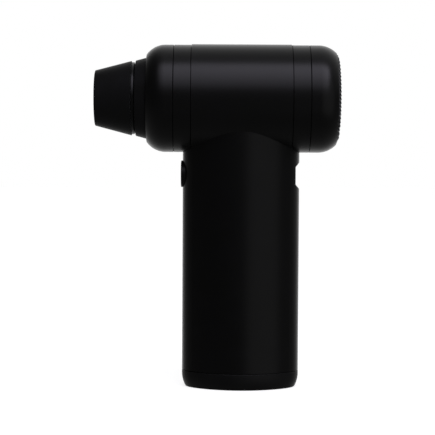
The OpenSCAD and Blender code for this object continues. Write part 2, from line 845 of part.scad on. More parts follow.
// One cell with its button end up or down
module cell(x, up) {
    wrap_end = 0.6;
    nub_r = 3.2;
    z_body = up ? cell_z0 : cell_z0 + 1.2;
    translate([x, 0, 0]) {
        translate([0, 0, z_body]) rotate_extrude() difference() {
            square([cell_r, cell_l - 1.2]);
            // crimped groove under the button end
            translate([cell_r + 0.35, up ? cell_l - 4.4 : 3.2]) circle(0.7, $fn = 24);
            // rounded edge of the sleeve at the flat end
            translate([cell_r, up ? 0 : cell_l - 1.2]) rotate(45) square(wrap_end, center = true);
        }
        translate([0, 0, up ? cell_z1 - 1.3 : cell_z0]) cylinder(h = 1.3, r = nub_r);
    }
}

module front_cell() {
    color("#2f7fb5") cell(-cell_x, true);
}

module rear_cell() {
    color("#2f7fb5") cell(cell_x, false);
}

// Plan of a holder: two pockets' walls inside the oval of the handle
module holder_plan(gap) {
    intersection() {
        oval(handle_wall + gap);
        union() {
            for (side = [-1, 1]) translate([side * cell_x, 0]) circle(pocket_r + pocket_wall);
            square([2 * cell_x, 2 * cell_r * 0.8], center = true);
        }
    }
}

module cell_pockets(z) {
    translate([0, 0, z]) for (side = [-1, 1]) translate([side * cell_x, 0, 0])
        cylinder(h = holder_grip + past, r = pocket_r);
}

module lower_cell_holder() {
    color("#e8e4da") difference() {
        translate([0, 0, holder_z]) linear_extrude(holder_floor + holder_grip) holder_plan(pocket_wall);
        cell_pockets(holder_z + holder_floor);
        strip_slot(holder_z + holder_floor);
    }
}

// Slot through the wall between the pockets, which the contact strip crosses
module strip_slot(z) {
    translate([-cell_x, -strip_slot_w / 2, z - past])
        cube([2 * cell_x, strip_slot_w, past + holder_grip + past]);
}

module upper_cell_holder() {
    cradle_h = 1.6;
    color("#e8e4da") difference() {
        union() {
            translate([0, 0, upper_holder_z - holder_grip])
                linear_extrude(holder_floor + holder_grip) holder_plan(0.3);
            for (sx = [-1, 1]) translate([sx * post_x, sx * post_y, upper_holder_top - past])
                cylinder(h = board_z - upper_holder_top + past, r = post_r, $fn = 48);
            for (sx = [-1, 1]) translate([-sx * post_x, sx * post_y, upper_holder_top - past])
                cylinder(h = board_z - upper_holder_top + past, r = post_r, $fn = 48);
            // cradle under the capacitor
            translate([can_x - can_r - 0.4, -can_r, upper_holder_top - past])
                cube([2 * can_r + 0.8, 2 * can_r, past + cradle_h]);
        }
        translate([0, 0, -past - holder_grip]) cell_pockets(upper_holder_z);
        for (sx = [-1, 1]) {
            translate([sx * post_x, sx * post_y, board_z - board_screw_l])
                cylinder(h = board_screw_l + past, r = screw_r + glue, $fn = 32);
            // way for the battery's leads
            translate([sx * cell_x, 0, upper_holder_z - past])
                cylinder(h = holder_floor + 2 * past, r = battery_lead_r + 0.5, $fn = 32);
        }
        translate([can_x, -handle_d / 2, board_z - can_r - part_gap / 2]) rotate([-90, 0, 0])
            cylinder(h = handle_d, r = can_r + fit);
    }
}

module lower_contact_strip() {
    color("#c8c8c4") translate([0, 0, cell_z0 - strip_t]) linear_extrude(strip_t) {
        square([2 * cell_x, strip_w], center = true);
        for (side = [-1, 1]) translate([side * cell_x, 0]) circle(strip_pad_r, $fn = 48);
    }
}

module upper_contact_strips() {
    color("#c8c8c4") translate([0, 0, cell_z1]) linear_extrude(strip_t)
        for (side = [-1, 1]) translate([side * cell_x, 0]) square([cell_r, strip_w], center = true);
}

module battery_leads() {
    color("#b02a2a") for (side = [-1, 1])
        translate([side * cell_x, 0, cell_z1 + strip_t])
            cylinder(h = board_z - cell_z1 - strip_t, r = battery_lead_r, $fn = 32);
}

module motor_leads() {
    top = axis_h - cup_in_r + 0.4;
    color("#c9a227") for (k = [-1 : 1])
        translate([lead_x, k * lead_pitch, board_top])
            cylinder(h = top - board_top, r = lead_r, $fn = 32);
}

// Section of a curved guide vane, x along the axis and y round it
module vane_area() {
    intersection() {
        translate([vane_x0, vane_curve_r]) difference() {
            circle(vane_curve_r + vane_t / 2, $fn = 360);
            circle(vane_curve_r - vane_t / 2, $fn = 360);
        }
        translate([vane_x0, -past]) square([vane_x1 - vane_x0, vane_curve_r]);
    }
}

module fan_duct() {
    vane_foot = cup_r - 0.8;
    vane_head = duct_r + 0.6;
    color("#26262a") difference() {
        union() {
            turned() {
                difference() {
                    band(duct_r, duct_out_r, duct_front_x, duct_rear_x);
                    // rounded lip at the intake end
                    translate([duct_r, duct_rear_x]) rotate(45) square(0.8, center = true);
                }
                for (side = [-1, 1]) {
                    rib = side * (damper_end - damper_l - part_gap);
                    band(duct_r + 0.2, duct_out_r + duct_rib_h, min(rib, rib - side * duct_rib_l),
                        max(rib, rib - side * duct_rib_l));
                }
                // motor cup, with the rear bearing's seat on its end wall
                band(cup_in_r, cup_r, cup_front_x, cup_end_x + cup_end_t);
                band(seat_r, cup_r, cup_end_x, cup_end_x + cup_end_t);
                band(shaft_hole_r, cup_r, cup_end_x, cup_end_x + seat_floor);
                band(seat_r, seat_r + seat_wall, cup_end_x, rear_seat_end);
            }
            for (k = [1 : vanes - 1])
                translate([0, 0, axis_h]) rotate([180 + k * 360 / vanes, 0, 0])
                    translate([0, 0, vane_foot]) linear_extrude(vane_head - vane_foot) vane_area();
            // hollow strut for the leads, in place of the lowest vane
            translate([lead_x, 0, axis_h - vane_head])
                linear_extrude(vane_head - vane_foot) square([strut_w, strut_d], center = true);
        }
        translate([lead_x, 0, axis_h - duct_out_r - past])
            linear_extrude(duct_out_r - cup_in_r + past + 0.8)
                square([2 * lead_r + 0.4, strut_d - 1.2], center = true);
    }
}

module front_damper() {
    color("#2c2c2c") mirror([1, 0, 0]) turned() damper_area();
}

module rear_damper() {
    color("#2c2c2c") turned() damper_area();
}

// Impeller blade: sections on cylinders from root to tip. At radius r, the station s runs from
// the leading edge (0, at the intake) to the trailing edge (1), side is -1 or 1.
stations = 6;
rings = 5;
function blade_r(j) = blade_root_r + (tip_r - blade_root_r) * j / rings;
function blade_x(s, t) = hub_x1 - 0.5 - 2.6 * t - s * (hub_l - 1.1 - 3.4 * t);
function blade_turn(s, t) = blade_wrap * (s - 0.32 * s * s) * (1 - 0.08 * t) + 7 * t;
function blade_t(s, t) = (blade_root_t + (blade_tip_t - blade_root_t) * t)
    * (0.25 + 0.75 * sqrt(sin(180 * (0.03 + 0.94 * s))));
function blade_point(s, side, j) =
    let (t = j / rings, r = blade_r(j),
         a = blade_turn(s, t) + side * blade_t(s, t) / 2 / r * 180 / PI)
        [blade_x(s, t), r * sin(a), r * cos(a)];
function blade_ring(j) = concat(
    [for (i = [0 : stations]) blade_point(i / stations, 1, j)],
    [for (i = [stations : -1 : 0]) blade_point(i / stations, -1, j)]);

module blade() {
    n = 2 * (stations + 1);
    points = [for (j = [0 : rings]) each blade_ring(j)];
    sides = [for (j = [0 : rings - 1]) for (i = [0 : n - 1])
        let (a = j * n + i, b = j * n + (i + 1) % n) each [[a, b + n, b], [a, a + n, b + n]]];
    root = [for (i = [0 : stations - 1]) each [[i, i + 1, n - 1 - i], [i + 1, n - 2 - i, n - 1 - i]]];
    tip = [for (i = [0 : stations - 1]) each [
        [rings * n + i, rings * n + n - 1 - i, rings * n + i + 1],
        [rings * n + i + 1, rings * n + n - 1 - i, rings * n + n - 2 - i]]];
    polyhedron(points, concat(sides, root, tip));
}

module impeller() {
    color("#3c4045") {
        turned() difference() {
            intersection() {
                band(shaft_r + glue, hub_tail_r, hub_x0, hub_x1);
                translate([hub_tail_r - hub_arc_r, hub_x0]) circle(hub_arc_r, $fn = 360);
            }
            // hollow over the bearing's seat, round a boss that meets the bearing
            band(shaft_r + 0.8, hub_cave_r, hub_x0 - past, hub_cave_end);
            band(0, shaft_r + 0.8, hub_x0 - past, rear_bearing_x + bearing_w + glue);
        }
        for (k = [0 : blades - 1]) translate([0, 0, axis_h]) rotate([k * 360 / blades, 0, 0]) blade();
    }
}

module spinner_nut() {
    nose_r = (spinner_l * spinner_l + pow(hub_nose_r - 0.6, 2)) / (2 * (hub_nose_r - 0.6));
    color("#8f9296") turned() difference() {
        intersection() {
            band(0, hub_nose_r, hub_x1 + glue, hub_x1 + spinner_l);
            translate([hub_nose_r - nose_r - 0.1, hub_x1]) circle(nose_r + 0.1);
        }
        band(0, shaft_r + glue, hub_x1 - past, shaft_x1 + glue);
    }
}

module motor_shaft() {
    color("#b9bcbf") on_axis(shaft_x0) cylinder(h = shaft_x1 - shaft_x0, r = shaft_r);
}

module rotor_magnet() {
    color("#56585c") turned() band(shaft_r + glue, magnet_r, stack_x0 - 0.5, stack_x1 + 0.5);
}

module tooth_shoes() {
    span = 360 / teeth * 0.74;
    intersection() {
        difference() {
            circle(magnet_r + air_gap + 0.8);
            circle(magnet_r + air_gap);
        }
        for (k = [0 : teeth - 1]) rotate(k * 360 / teeth) polygon([
            [0, 0], [cup_r * cos(span / 2), cup_r * sin(span / 2)],
            [cup_r * cos(span / 2), -cup_r * sin(span / 2)]]);
    }
}

tooth_w = 2.2;
yoke_t = 1.35;

module stator_core() {
    color("#6b6e73") on_axis(stack_x0) linear_extrude(stack_l) {
        difference() {
            circle(cup_in_r - fit);
            circle(cup_in_r - fit - yoke_t);
        }
        tooth_shoes();
        difference() {
            for (k = [0 : teeth - 1]) rotate(k * 360 / teeth)
                translate([magnet_r + air_gap + 0.4, -tooth_w / 2])
                    square([cup_in_r - yoke_t - magnet_r - air_gap, tooth_w]);
            circle(magnet_r + air_gap);
        }
    }
}

module stator_windings() {
    coil_t = 1.05;
    r0 = magnet_r + air_gap + 0.9;
    r1 = cup_in_r - fit - yoke_t - 0.1;
    color("#b87333") for (k = [0 : teeth - 1])
        on_axis(stack_x0 - coil_over) rotate(k * 360 / teeth) difference() {
            intersection() {
                translate([r0, -tooth_w / 2 - coil_t, 0])
                    cube([r1 - r0, tooth_w + 2 * coil_t, stack_l + 2 * coil_over]);
                // rounded ends of the turns, inside the yoke
                translate([0, 0, (stack_l + 2 * coil_over) / 2]) rotate([0, 90, 0])
                    cylinder(h = cup_r, r = (stack_l + 2 * coil_over) / 2);
                cylinder(h = stack_l + 2 * coil_over, r = r1);
            }
            translate([0, -tooth_w / 2 - glue, coil_over - glue])
                cube([cup_r, tooth_w + 2 * glue, stack_l + 2 * glue]);
        }
}

// Ball bearing, by its place on the axis: rings with a groove, and the balls between them
module race(r0, r1, x) {
    turned() difference() {
        band(r0, r1, x, x + bearing_w);
        translate([ball_mid_r, x + bearing_w / 2]) circle(ball_r + race_gap, $fn = 32);
    }
}

module ball_set(x) {
    for (k = [0 : balls - 1])
        on_axis(x + bearing_w / 2) rotate(k * 360 / balls)
            translate([ball_mid_r, 0, 0]) sphere(ball_r, $fn = 32);
}

module front_bearing_outer() {
    color("#a8abae") race(outer_race_r, bearing_r, front_bearing_x);
}

module front_bearing_balls() {
    color("#d0d2d4") ball_set(front_bearing_x);
}

module front_bearing_inner() {
    color("#a8abae") race(shaft_r + glue, inner_race_r, front_bearing_x);
}

module rear_bearing_outer() {
    color("#a8abae") race(outer_race_r, bearing_r, rear_bearing_x);
}

module rear_bearing_balls() {
    color("#d0d2d4") ball_set(rear_bearing_x);
}

module rear_bearing_inner() {
    color("#a8abae") race(shaft_r + glue, inner_race_r, rear_bearing_x);
}

module motor_end_cap() {
    color("#2e2e32") turned() {
        band(shaft_hole_r, cup_in_r - fit, end_cap_x + end_cap_t - seat_floor, end_cap_x + end_cap_t);
        band(seat_r, cup_in_r - fit, end_cap_x, end_cap_x + end_cap_t);
        band(seat_r, seat_r + seat_wall, front_seat_end, end_cap_x + end_cap_t);
    }
}

module tail_cone() {
    base = cup_front_x - part_gap / 2;
    color("#26262a") mirror([1, 0, 0]) turned() difference() {
        intersection() {
            band(0, cup_r, -base, -base + tail_l);
            translate([cup_r - tail_arc_r, -base]) circle(tail_arc_r, $fn = 180);
        }
        intersection() {
            band(0, cup_r, -base - past, -base + tail_l - 2 * tail_wall);
            translate([cup_r - tail_arc_r, -base]) circle(tail_arc_r - tail_wall, $fn = 180);
        }
    }
}

main_housing();
front_barrel_ring();
rear_barrel_ring();
front_cowl();
rear_cowl();
nozzle_collar();
nozzle_seal();
nozzle();
intake_mesh();
mesh_clamp_ring();
intake_bellmouth();
base_cap();
base_screws();
power_button();
switch_plunger();
tactile_switch();
control_board();
board_screws();
usb_c_socket();
light_guide();
charge_led();
motor_driver_chips();
supply_capacitor();
front_cell();
rear_cell();
lower_cell_holder();
upper_cell_holder();
lower_contact_strip();
upper_contact_strips();
battery_leads();
motor_leads();
fan_duct();
front_damper();
rear_damper();
impeller();
spinner_nut();
motor_shaft();
rotor_magnet();
stator_core();
stator_windings();
front_bearing_outer();
front_bearing_balls();
front_bearing_inner();
rear_bearing_outer();
rear_bearing_balls();
rear_bearing_inner();
motor_end_cap();
tail_cone();
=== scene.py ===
# %% [markdown]
# # A cordless turbo blower in satin black
#
# The object is a small blower for drying a car: a short round barrel with a turbo fan, a tapered
# nozzle in front, a domed mesh behind, and an oval handle that holds the battery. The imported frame
# brings every part at its real size and place. This lesson gives each part its finish, turns the
# parts whose edges catch the light, perforates the mesh, and lights it all in a plain studio.

# %% Load the frame
import math

import bmesh
import bpy
from mathutils import Matrix, Vector


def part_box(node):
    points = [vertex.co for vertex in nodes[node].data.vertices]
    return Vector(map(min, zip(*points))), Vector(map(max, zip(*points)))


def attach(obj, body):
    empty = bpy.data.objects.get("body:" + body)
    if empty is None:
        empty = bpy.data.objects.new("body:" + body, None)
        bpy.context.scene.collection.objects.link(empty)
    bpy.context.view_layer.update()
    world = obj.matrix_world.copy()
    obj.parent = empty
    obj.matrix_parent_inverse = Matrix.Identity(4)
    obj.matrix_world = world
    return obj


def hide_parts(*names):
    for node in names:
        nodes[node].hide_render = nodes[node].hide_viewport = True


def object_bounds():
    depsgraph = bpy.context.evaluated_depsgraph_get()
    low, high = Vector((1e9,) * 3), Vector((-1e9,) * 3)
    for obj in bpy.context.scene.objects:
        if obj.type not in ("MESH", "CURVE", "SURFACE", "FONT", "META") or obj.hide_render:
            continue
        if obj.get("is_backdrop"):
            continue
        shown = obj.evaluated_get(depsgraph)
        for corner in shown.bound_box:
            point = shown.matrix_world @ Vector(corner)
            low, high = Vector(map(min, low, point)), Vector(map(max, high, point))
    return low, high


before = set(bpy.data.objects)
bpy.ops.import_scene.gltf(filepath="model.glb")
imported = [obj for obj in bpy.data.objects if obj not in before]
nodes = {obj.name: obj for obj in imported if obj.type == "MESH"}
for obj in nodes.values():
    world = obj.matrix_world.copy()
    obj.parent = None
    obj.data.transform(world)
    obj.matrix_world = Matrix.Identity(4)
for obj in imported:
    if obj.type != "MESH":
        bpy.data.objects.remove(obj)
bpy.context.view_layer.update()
MM = 0.001

# %% [markdown]
# ## Colours and nodes
#
# Colours are written as sRGB hex values, as a paint chart gives them, but shaders work in linear
# light. One function converts them. A second function adds any shader node, with its settings,
# its values and its links, so that each material below reads as a short list of what the finish
# is made of.


# %% Colours and nodes
def srgb(hex_code):
    """A colour such as "#1a1a1c" in linear light, with full alpha."""
    channels = [int(hex_code[i:i + 2], 16) / 255 for i in (1, 3, 5)]
    linear = [c / 12.92 if c <= 0.04045 else ((c + 0.055) / 1.055) ** 2.4 for c in channels]
    return (*linear, 1)


def add(tree, kind, inputs=None, stops=(), **settings):
    """Adds a node with its settings, its inputs and, if it is a ramp, its stops.

    An input is a value, another node's output, or a node, which stands for its first output.
    A stop is a place and a colour, where a lone number is a grey.
    """
    node = tree.nodes.new(kind)
    for name, value in settings.items():
        setattr(node, name, value)
    for socket, source in (inputs or {}).items():
        if isinstance(source, bpy.types.Node):
            source = source.outputs[0]
        if isinstance(source, bpy.types.NodeSocket):
            tree.links.new(source, node.inputs[socket])
        else:
            node.inputs[socket].default_value = source
    for k, (place, shade) in enumerate(stops):
        elements = node.color_ramp.elements
        stop = elements[k] if k < 2 else elements.new(place)
        stop.position = place
        stop.color = shade if isinstance(shade, tuple) else (shade, shade, shade, 1)
    return node


def new_material(name, **shader):
    """A material with one Principled shader, whose even values are set on its own sockets."""
    material = bpy.data.materials.new(name)
    material.use_nodes = True
    surface = material.node_tree.nodes["Principled BSDF"]
    for socket, value in shader.items():
        surface.inputs[socket.replace("_", " ")].default_value = value
    return material, material.node_tree, surface


print("a blasted black in linear light:", [round(c, 4) for c in srgb("#0c0c0d")[:3]])

# %% [markdown]
# ## A grained finish
#
# Bead-blasted metal, spark-eroded moulds and powder coat all share one build-up: a slightly uneven
# colour, a slightly uneven gloss, and a fine grain. The grain is named by its width in
# millimetres and its depth in micrometres. Real blasting and mould texture is about a tenth of a
# millimetre wide, which hardly shows from arm's length, so it is drawn three to five times as
# coarse. A stretch above 1 packs the grain tighter along one axis, which makes the fine lines of
# grinding, turning and rolling.

# %% A grained finish
# noise stays mostly between these two values, so one tone turns to the other there
PATCH_LOW = 0.3
PATCH_HIGH = 0.7


def per_metre(size_mm):
    """How many cycles of a pattern fit in a metre."""
    return 1 / (size_mm * MM)


def grained(name, dark, light, gloss, grain_mm, depth_um, patch_mm=9, stretch=(1, 1, 1), **shader):
    """A finish with patches of tone and gloss, and a grain of a given width and depth."""
    material, tree, surface = new_material(name, **shader)
    where = add(tree, "ShaderNodeTexCoord")
    place = add(tree, "ShaderNodeMapping", {"Vector": where.outputs["Object"], "Scale": stretch})
    patches = add(tree, "ShaderNodeTexNoise",
                  {"Vector": place, "Scale": per_metre(patch_mm), "Detail": 3.0})
    grain = add(tree, "ShaderNodeTexNoise",
                {"Vector": place, "Scale": per_metre(grain_mm), "Detail": 2.0})
    tone = add(tree, "ShaderNodeValToRGB", {"Fac": patches},
               stops=((PATCH_LOW, srgb(dark)), (PATCH_HIGH, srgb(light))))
    shine = add(tree, "ShaderNodeMapRange",
                {"Value": grain, "To Min": gloss[0], "To Max": gloss[1]})
    bump = add(tree, "ShaderNodeBump",
               {"Height": grain, "Strength": 1.0, "Distance": depth_um * MM * MM})
    tree.links.new(tone.outputs["Color"], surface.inputs["Base Color"])
    tree.links.new(shine.outputs["Result"], surface.inputs["Roughness"])
    tree.links.new(bump.outputs["Normal"], surface.inputs["Normal"])
    return material


print(f"a grain of 0.35 mm repeats {per_metre(0.35):.0f} times in a metre")

# %% [markdown]
# ## The outside: anodised metal and moulded plastic
#
# The housing, rings and cowls are aluminium, bead-blasted and then dyed black in the anodising
# bath. The clear oxide over the dye shines like a thin glaze, not like bare metal, so the shader
# is a dielectric. The nozzle, its collar, the base cap and the button are moulded. Each line gives
# the finish's name, its darkest and lightest colour, its roughness from and to, and the width and
# depth of its grain.

# %% The outside: anodised metal and moulded plastic
# blasted, then dyed: an even satin black, with soft-edged bands of light under a clear glaze
anodised = grained("anodised_black_aluminium", "#0a0a0a", "#0c0c0d", (0.28, 0.33), 0.35, 1.0,
                   IOR=1.52)
# nylon from a spark-eroded mould: a flat black with hardly a highlight and a faint bloom at rims
moulded = grained("matte_black_nylon", "#141414", "#18181a", (0.42, 0.5), 0.5, 4,
                  IOR=1.45, Specular_IOR_Level=0.1, Sheen_Weight=0.08, Sheen_Roughness=0.4)
# ABS from a lightly textured mould: as black as the housing, with a softer shine
satin_cap = grained("satin_black_abs", "#0c0c0d", "#0f0f10", (0.4, 0.48), 0.4, 2, IOR=1.5)
# ABS from a finer mould: a shade glossier than the cap, so that the dish shows
button_black = grained("button_black_abs", "#0d0d0e", "#101011", (0.36, 0.44), 0.4, 1.5, IOR=1.5)
# powder baked on punched steel: dark grey webs whose round edges glint against the black holes
powder_coat = grained("powder_coated_steel", "#343437", "#404043", (0.26, 0.36), 0.3, 3, IOR=1.5)
print("outside finishes:",
      [m.name for m in (anodised, moulded, satin_cap, button_black, powder_coat)])

# %% [markdown]
# ## The inside
#
# Nobody sees the inside until the blower is opened, but each part is finished as it is made:
# turned and ground steel, stamped laminations, nickel strip, enamelled wire, a shrink sleeve round
# each cell. Metals keep the default IOR and take their colour from the base colour.

# %% Plastics and rubbers of the inside
# nylon with glass fibre: dark grey, dull and a little cloudy
inner_plastic = grained("glass_filled_nylon", "#26262a", "#2f2f33", (0.5, 0.62), 0.4, 4)
# undyed ABS: cream white with a soft shine
natural_plastic = grained("natural_abs", "#ddd8cc", "#e8e4da", (0.4, 0.5), 0.6, 2)
# cast silicone: charcoal with one broad dim sheen
soft_rubber = grained("silicone_rubber", "#202021", "#28282a", (0.62, 0.75), 0.5, 3)
# pressed nitrile: near-black and smoother, as if slightly greased
seal_rubber = grained("nitrile_rubber", "#141415", "#1b1b1c", (0.35, 0.45), 0.6, 1)
# shrunk vinyl sleeve: glossy blue with slow waves from the heat
cell_wrap = grained("shrink_sleeve", "#2b77ab", "#347fb2", (0.22, 0.3), 1.5, 6, patch_mm=14)
# sprayed solder mask on glass-fibre board: glassy green, mottled by the weave below
board_mask = grained("solder_mask", "#1b4731", "#235a40", (0.2, 0.32), 0.5, 3, patch_mm=2.5)
# moulded epoxy: a chip's dusty black
epoxy = grained("moulded_epoxy", "#1c1c1e", "#262628", (0.5, 0.6), 0.15, 3)
# drawn plastic sleeve: the capacitor's dull blue
can_sleeve = grained("capacitor_sleeve", "#344361", "#3d4e70", (0.25, 0.35), 0.8, 2)
# dyed POM: a waxy dark red
plunger_red = grained("dark_red_pom", "#6f1b1b", "#7e2121", (0.35, 0.45), 0.5, 1)
# drawn silicone on fine strands: soft, dull, strong in colour
lead_red = grained("red_silicone_lead", "#a32727", "#b23030", (0.45, 0.55), 0.6, 2)
lead_yellow = grained("yellow_silicone_lead", "#bf9822", "#cba42b", (0.45, 0.55), 0.6, 2)
# frosted acrylic: milky, and light from behind glows through it
frosted = grained("frosted_light_guide", "#dfe6ea", "#e9eef1", (0.35, 0.5), 0.4, 2,
                  Transmission_Weight=0.6)
# cast phosphor: the pale yellow face of an unlit lamp
led_white = grained("led_phosphor", "#efeedd", "#f6f5ea", (0.35, 0.45), 0.4, 1)
inner_soft = (inner_plastic, natural_plastic, soft_rubber, seal_rubber, cell_wrap, board_mask,
              epoxy, can_sleeve, plunger_red, lead_red, lead_yellow, frosted, led_white)
print("plastics and rubbers inside:", [m.name for m in inner_soft])

# %% [markdown]
# ## Metals of the inside
#
# A worked metal shows how it was worked. Grinding, turning and rolling leave lines that stretch a
# highlight across them, lapping leaves none, and a stack of stamped sheets is ruled like a book's
# edge. All of these are the same grain, drawn out along one axis.

# %% Metals of the inside
# ground round the axis: bright, with fine lines that widen the highlight
ground_steel = grained("ground_steel", "#a9abad", "#c0c2c4", (0.2, 0.34), 0.15, 1,
                       stretch=(1, 6, 6), Metallic=1.0)
# lapped balls: sharp points of light
ball_steel = grained("polished_ball_steel", "#c8cacc", "#d6d8da", (0.05, 0.1), 0.6, 0.2,
                     Metallic=1.0)
# screws in black zinc: a smoky grey metal
zinc_steel = grained("black_zinc_steel", "#5c5c5f", "#77777a", (0.3, 0.45), 0.4, 2, Metallic=1.0)
# rolled strip: a warm grey with lines along its run
nickel_strip = grained("nickel_strip", "#b4b3ac", "#c9c8c2", (0.25, 0.38), 0.3, 1,
                       stretch=(1, 8, 1), Metallic=1.0)
# a drawn and tinned shell: pale, clean and nearly even
tinned_steel = grained("tinned_steel", "#9fa1a3", "#b3b5b7", (0.22, 0.3), 0.5, 0.6, Metallic=1.0)
# blades milled from the solid and dyed: dark blue-grey metal with the cutter's lines
machined = grained("machined_anodised_alloy", "#33363a", "#43474c", (0.24, 0.34), 0.2, 1.5,
                   stretch=(4, 1, 1), Metallic=1.0)
# a turned nut: grey metal in tight rings
turned_alloy = grained("turned_alloy", "#4c4f53", "#5a5d61", (0.18, 0.3), 0.12, 1.5,
                       stretch=(8, 1, 1), Metallic=1.0)
# a plated magnet: smooth, mid grey
magnet_coat = grained("nickel_coated_magnet", "#5f6165", "#6e7074", (0.2, 0.3), 0.8, 1,
                      Metallic=1.0)
# enamelled wire, wound tight: amber copper with a glassy shine
copper = grained("enamelled_copper", "#a35e2a", "#c27a3c", (0.16, 0.28), 0.35, 5,
                 stretch=(1, 6, 6), Metallic=1.0)
# stamped sheets in a stack: grey metal ruled by fine lines
laminations = grained("stacked_laminations", "#5b5e63", "#74777c", (0.3, 0.42), 0.35, 6,
                      stretch=(9, 1, 1), Metallic=1.0)
inner_metal = (ground_steel, ball_steel, zinc_steel, nickel_strip, tinned_steel, machined,
               turned_alloy, magnet_coat, copper, laminations)
print("metals inside:", [m.name for m in inner_metal])

# %% [markdown]
# ## Which finish goes where
#
# A part from the frame keeps its shape and only gets a finish. Its one material slot already
# exists, so the finish is put there.

# %% Which finish goes where
finishes = {
    anodised: ["main_housing", "front_barrel_ring", "rear_barrel_ring", "front_cowl", "rear_cowl"],
    moulded: ["nozzle_collar", "nozzle"],
    satin_cap: ["base_cap"],
    button_black: ["power_button"],
    powder_coat: ["intake_mesh"],
    inner_plastic: ["mesh_clamp_ring", "intake_bellmouth", "fan_duct", "motor_end_cap",
                    "tail_cone", "tactile_switch"],
    natural_plastic: ["lower_cell_holder", "upper_cell_holder"],
    soft_rubber: ["front_damper", "rear_damper"],
    seal_rubber: ["nozzle_seal"],
    ground_steel: ["motor_shaft", "front_bearing_outer", "front_bearing_inner",
                   "rear_bearing_outer", "rear_bearing_inner"],
    ball_steel: ["front_bearing_balls", "rear_bearing_balls"],
    zinc_steel: ["base_screws", "board_screws"],
    nickel_strip: ["lower_contact_strip", "upper_contact_strips"],
    tinned_steel: ["usb_c_socket"],
    machined: ["impeller"],
    turned_alloy: ["spinner_nut"],
    magnet_coat: ["rotor_magnet"],
    cell_wrap: ["front_cell", "rear_cell"],
    board_mask: ["control_board"],
    epoxy: ["motor_driver_chips"],
    can_sleeve: ["supply_capacitor"],
    plunger_red: ["switch_plunger"],
    lead_red: ["battery_leads"],
    lead_yellow: ["motor_leads"],
    frosted: ["light_guide"],
    led_white: ["charge_led"],
    copper: ["stator_windings"],
    laminations: ["stator_core"],
}
for finish, names in finishes.items():
    for name in names:
        nodes[name].data.materials[0] = finish
left_plain = set(nodes) - {name for names in finishes.values() for name in names}
print("parts without a finish:", sorted(left_plain))

# %% [markdown]
# ## Outlines
#
# The rings, cowls, collar, nozzle and button are all bodies of revolution: in the workshop each is
# one pass on a lathe, or comes from a mould that was turned. Here each starts as an outline, a
# list of corners in millimetres: the distance along the axis, the radius and, where there is one,
# the corner's rounding. So every edge gets the small rounding that a deburred edge has, and that
# is what draws a thin bright line at each seam.

# %% Outlines
NEARLY_STRAIGHT = math.radians(89)


def rounded(corners, steps=4):
    """Replaces each corner of a closed outline by an arc of its own radius."""
    points = []
    for here, corner in enumerate(corners):
        before = Vector(corners[here - 1][:2])
        after = Vector(corners[(here + 1) % len(corners)][:2])
        tip = Vector(corner[:2])
        radius = corner[2] if len(corner) > 2 else 0
        back, ahead = (before - tip), (after - tip)
        half = back.angle(ahead) / 2
        if radius == 0 or half > NEARLY_STRAIGHT:
            points.append(tip)
            continue
        back.normalize()
        ahead.normalize()
        reach = radius / math.tan(half)
        middle = tip + (back + ahead).normalized() * radius / math.sin(half)
        start, end = tip + back * reach - middle, tip + ahead * reach - middle
        turn = start.angle_signed(end)
        for k in range(steps + 1):
            points.append(middle + Matrix.Rotation(-turn * k / steps, 2) @ start)
    return points


def arc(middle, radius, start, end, steps=20):
    """Points of an arc between two angles in degrees, where 0 points along the axis."""
    points = []
    for k in range(steps + 1):
        angle = math.radians(start + (end - start) * k / steps)
        points.append((middle[0] + radius * math.cos(angle),
                       middle[1] + radius * math.sin(angle)))
    return points


square = [(0, 0, 0.1), (0, 1, 0.1), (1, 1, 0.1), (1, 0, 0.1)]
print(f"a square with rounded corners has {len(rounded(square))} points")

# %% [markdown]
# ## From an outline to a piece
#
# Spin turns the outline once about the axis and merges its end with its start. It can leave the
# skin inside out, so the normals are recalculated. The small roundings would bend the shading of
# the wide faces beside them, so a modifier lets each face count by its size.

# %% From an outline to a piece
AXIS_MM = 114.0
LATHE_STEPS = 160
ON_AXIS_MM = 1e-6
SAME_PLACE_M = 1e-7


def finish_piece(name, mesh):
    """Makes an object of a mesh, at the origin and with smooth faces."""
    data = bpy.data.meshes.new(name)
    mesh.to_mesh(data)
    mesh.free()
    for face in data.polygons:
        face.use_smooth = True
    piece = bpy.data.objects.new(name, data)
    bpy.context.scene.collection.objects.link(piece)
    print(f"{name}: {len(data.polygons)} faces")
    return piece


def lathe(name, outline, toward=1, height=AXIS_MM, steps=LATHE_STEPS):
    """Spins a closed outline about an axis along X. toward is -1 for a piece in front."""
    mesh = bmesh.new()
    ring = [mesh.verts.new((toward * x * MM, 0, (height + r) * MM)) for x, r in outline]
    # an edge that lies on the axis itself would only make slivers
    edges = [mesh.edges.new((ring[k - 1], ring[k])) for k in range(len(ring))
             if max(outline[k - 1][1], outline[k][1]) > ON_AXIS_MM]
    bmesh.ops.spin(mesh, geom=ring + edges, cent=(0, 0, height * MM), axis=(1, 0, 0),
                   dvec=(0, 0, 0), angle=2 * math.pi, steps=steps, use_merge=True,
                   use_duplicate=False)
    bmesh.ops.remove_doubles(mesh, verts=mesh.verts, dist=SAME_PLACE_M)
    bmesh.ops.recalc_face_normals(mesh, faces=mesh.faces)
    piece = finish_piece(name, mesh)
    shading = piece.modifiers.new("face_weighted_shading", "WEIGHTED_NORMAL")
    shading.keep_sharp = True
    return piece


def stand_for(piece, node, finish, body="body"):
    """Puts a piece in the place of a part, on the same body and with a finish of its own."""
    piece.data.materials.append(finish)
    corners = [Vector(corner) for corner in piece.bound_box]
    low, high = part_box(node)
    ends = ((corners[0], low), (corners[6], high))
    off = max(abs(c[i] - w[i]) for i in range(3) for c, w in ends)
    print(f"{piece.name} stands for {node}, whose box it meets within {off / MM:.2f} mm")
    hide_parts(node)
    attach(piece, body)


